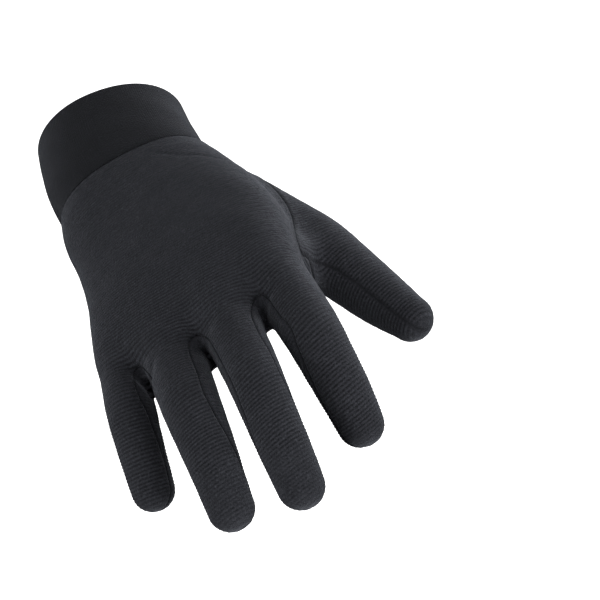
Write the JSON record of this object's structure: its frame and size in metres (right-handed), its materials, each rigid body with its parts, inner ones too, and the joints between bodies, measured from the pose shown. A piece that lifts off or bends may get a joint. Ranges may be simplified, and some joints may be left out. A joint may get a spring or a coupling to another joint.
{
  "type": "glove liner",
  "caption": "Thin knitted glove liner for a right hand in its worn form, with a smooth doubled cuff, a ribbed back and palm and strips sewn between the fingers.",
  "frame": {"origin": "centre of the cuff's open rim, where the wrist goes in", "axes": "+Y out of the cuff along the forearm, fingers towards -Y, +Z out of the back of the hand, +X to the thumb's side"},
  "size_m": [0.1393, 0.2375, 0.0752],
  "materials": {
    "ribbed_knit": "charcoal ribbed knit, matt with a light bloom at its edges",
    "smooth_knit": "charcoal fine smooth knit, matt"
  },
  "bodies": {
    "root": {"cuff": "smooth_knit", "back_panel": "ribbed_knit", "palm_panel": "ribbed_knit", "thumb": "ribbed_knit", "side_strip_index_middle": "ribbed_knit", "side_strip_middle_ring": "ribbed_knit", "side_strip_ring_little": "ribbed_knit"}
  },
  "joints": []
}
